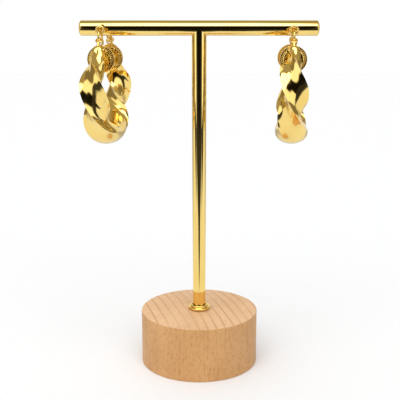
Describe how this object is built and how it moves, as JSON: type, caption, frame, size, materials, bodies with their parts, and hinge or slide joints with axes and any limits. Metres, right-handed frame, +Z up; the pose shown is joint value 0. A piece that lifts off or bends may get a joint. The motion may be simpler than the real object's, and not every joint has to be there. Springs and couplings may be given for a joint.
{
  "type": "pair of twisted hoop earrings on a T-bar display stand",
  "caption": "Chunky twisted hoop earrings with small hanging coins, hung from the cross bar of a polished T-bar stand with a round turned wooden base.",
  "frame": {"origin": "centre of the wooden base's underside", "axes": "+Z up along the post; X along the cross bar; -Y is the front, from which the hoops are seen edge-on"},
  "size_m": [0.0984, 0.0506, 0.1478],
  "materials": {
    "beech": "sanded, waxed",
    "stand_metal": "polished gold plate",
    "flange_metal": "polished gold plate",
    "ear_wire_metal": "polished gold plate",
    "ring_metal": "polished gold plate",
    "coin_metal": "struck relief, gold plate",
    "hoop_metal": "polished gold plate"
  },
  "bodies": {
    "stand": {"wood_base": "beech", "foot_flange": "flange_metal", "t_stand": "stand_metal", "ear_wire_left": "ear_wire_metal", "ear_wire_right": "ear_wire_metal"},
    "earring_left": {"hoop_left": "hoop_metal", "jump_ring_left_front": "ring_metal", "coin_left_front": "coin_metal", "jump_ring_left_back": "ring_metal", "coin_left_back": "coin_metal"},
    "earring_right": {"hoop_right": "hoop_metal", "jump_ring_right_front": "ring_metal", "coin_right_front": "coin_metal", "jump_ring_right_back": "ring_metal", "coin_right_back": "coin_metal"}
  },
  "joints": [
    {"name": "swing_left", "type": "hinge", "parent": "stand", "child": "earring_left", "pos_m": [-0.0386, 0, 0.144], "axis": [0.1994, 0.9799, 0], "range_deg": [-30, 30]},
    {"name": "swing_right", "type": "hinge", "parent": "stand", "child": "earring_right", "pos_m": [0.0386, 0, 0.144], "axis": [0.0698, 0.9976, 0], "range_deg": [-30, 30]}
  ]
}
